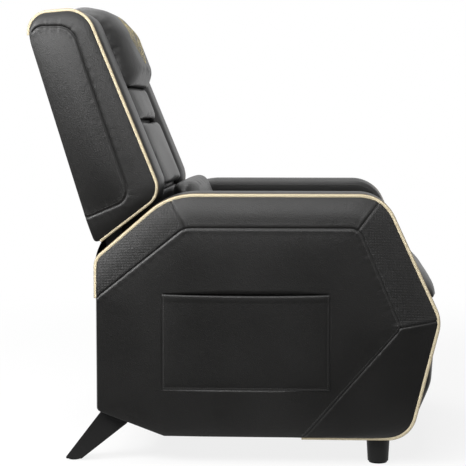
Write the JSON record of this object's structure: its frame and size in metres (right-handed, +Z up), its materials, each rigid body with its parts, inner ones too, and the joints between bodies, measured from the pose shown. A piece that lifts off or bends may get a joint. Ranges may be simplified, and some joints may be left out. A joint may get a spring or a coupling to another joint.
{
  "type": "reclining gaming armchair",
  "caption": "Upholstered gaming armchair with fixed legs, padded arms with side pockets, push-back reclining back with headrest and lumbar pillow, and a fold-out footrest.",
  "frame": {"origin": "on the floor under the middle of the chair's box at rest", "axes": "+X forwards (the way the sitter faces), +Y to the sitter's left, +Z up"},
  "size_m": [0.9309, 0.764, 1.0303],
  "materials": {
    "leather_black": "grained black synthetic leather over foam",
    "leather_panel": "black synthetic leather with embossed twill strips and stitched seams",
    "cloth_black": "matt black lining cloth",
    "piping_gold": "champagne gold corded piping",
    "plywood": "raw plywood",
    "steel_black": "black powder coat",
    "steel_bright": "zinc plated",
    "plastic_black": "matt black moulded plastic"
  },
  "bodies": {
    "base": {"arm_top_pad_right": "leather_black", "arm_top_pad_left": "leather_black", "arm_inner_cover_right": "leather_black", "arm_inner_cover_left": "leather_black", "side_pocket_right": "leather_black", "side_pocket_left": "leather_black", "rear_panel": "leather_black", "seat_cushion": "leather_black", "arm_side_pad_right": "leather_panel", "arm_side_pad_left": "leather_panel", "rear_gusset": "cloth_black", "dust_cover": "cloth_black", "arm_piping_right": "piping_gold", "arm_piping_left": "piping_gold", "arm_inner_panel_right": "plywood", "arm_inner_panel_left": "plywood", "arm_outer_panel_right": "plywood", "arm_outer_panel_left": "plywood", "arm_rails": "plywood", "front_rail": "plywood", "rear_rail": "plywood", "seat_rails": "plywood", "mechanism_plates": "steel_black", "hinge_plates": "steel_black", "leg_bolts": "steel_bright", "hinge_bolts": "steel_bright", "hinge_washers": "steel_bright", "seat_springs": "steel_bright", "footrest_springs": "steel_bright", "front_leg_right": "plastic_black", "front_leg_left": "plastic_black", "rear_leg_right": "plastic_black", "rear_leg_left": "plastic_black", "leg_glides": "plastic_black"},
    "backrest": {"back_core": "leather_black", "back_rear_cover": "leather_black", "back_side_pad_right": "leather_black", "back_side_pad_left": "leather_black", "back_bolster_right": "leather_black", "back_bolster_left": "leather_black", "back_pad_lower": "leather_black", "back_pad_upper": "leather_black", "headrest": "leather_black", "back_skirt": "leather_black", "back_piping_right": "piping_gold", "back_piping_left": "piping_gold", "lumbar_pillow": "leather_black", "back_frame": "steel_black", "back_springs": "steel_bright", "back_brackets": "steel_black"},
    "link_a1": {"link_a1": "steel_black", "torque_tube": "steel_black"},
    "link_b1": {"link_b1": "steel_black"},
    "link_a2": {"link_a2": "steel_black"},
    "link_b2": {"link_b2": "steel_black"},
    "link_c": {"link_c": "steel_black"},
    "footrest": {"footrest_board": "plywood", "footrest_pad": "leather_black", "footrest_brackets": "steel_black"}
  },
  "joints": [
    {"name": "back_recline", "type": "hinge", "parent": "base", "child": "backrest", "pos_m": [-0.25635, 0, 0.395], "axis": [0, -1, 0], "range_deg": [0, 45], "deforming": ["rear_gusset"]},
    {"name": "footrest_open", "type": "hinge", "parent": "base", "child": "link_a1", "pos_m": [0.25245, 0, 0.31], "axis": [0, -1, 0], "range_deg": [0, 38]},
    {"name": "link_b1_swing", "type": "hinge", "parent": "link_a1", "child": "link_b1", "pos_m": [0.27324, 0, 0.21219], "axis": [0, -1, 0], "range_deg": [-76.5, 0]},
    {"name": "link_a2_swing", "type": "hinge", "parent": "link_b1", "child": "link_a2", "pos_m": [0.29403, 0, 0.31], "axis": [0, -1, 0], "range_deg": [0, 76.5]},
    {"name": "link_b2_swing", "type": "hinge", "parent": "link_a1", "child": "link_b2", "pos_m": [0.29403, 0, 0.11437], "axis": [0, -1, 0], "range_deg": [-76.5, 0]},
    {"name": "footrest_swing", "type": "hinge", "parent": "link_b2", "child": "footrest", "pos_m": [0.33561, 0, 0.31], "axis": [0, -1, 0], "range_deg": [0, 135.5]},
    {"name": "control_link_swing", "type": "hinge", "parent": "footrest", "child": "link_c", "pos_m": [0.33954, 0, 0.26517], "axis": [0, -1, 0], "range_deg": [-113.46, 0]}
  ],
  "couplings": [
    {"joint": "link_b1_swing", "follows": "footrest_open", "ratio": -2},
    {"joint": "link_a2_swing", "follows": "footrest_open", "ratio": 2},
    {"joint": "link_b2_swing", "follows": "footrest_open", "ratio": -2},
    {"joint": "footrest_swing", "follows": "footrest_open", "ratio": 3.5526},
    {"joint": "control_link_swing", "follows": "footrest_open", "ratio": -2.9726}
  ]
}
